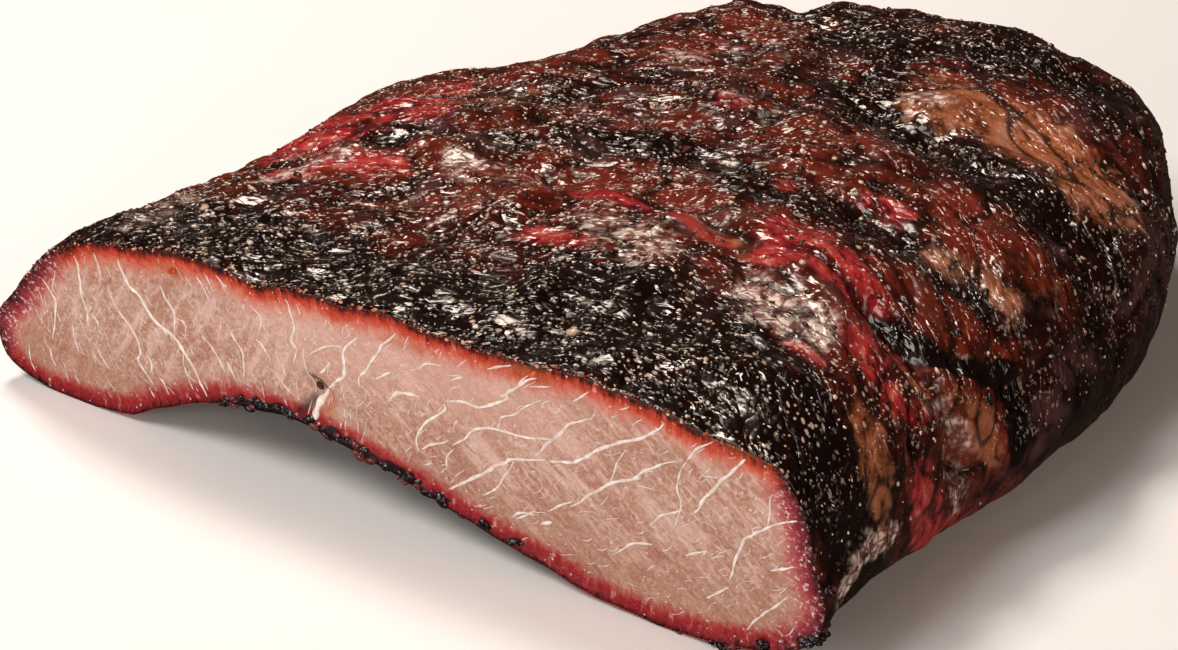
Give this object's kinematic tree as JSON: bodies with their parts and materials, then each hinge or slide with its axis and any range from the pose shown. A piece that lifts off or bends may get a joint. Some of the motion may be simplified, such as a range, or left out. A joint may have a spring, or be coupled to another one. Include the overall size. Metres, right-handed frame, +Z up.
{
  "type": "smoked beef brisket",
  "caption": "Half of a smoked beef brisket with a dark peppery bark, cut across to show the pink smoke ring and marbled meat, lying flat.",
  "frame": {"origin": "centre of the underside of the box that holds the meat", "axes": "-Y is the outward normal of the flat cut face, +X runs along the cut to its thicker end, and +Z is up from the table"},
  "size_m": [0.235, 0.2244, 0.0572],
  "materials": {
    "bark": "rough charred crust with glossy spots of fat",
    "cut_meat": "moist cut meat"
  },
  "bodies": {
    "root": {"brisket": "bark"}
  },
  "joints": []
}
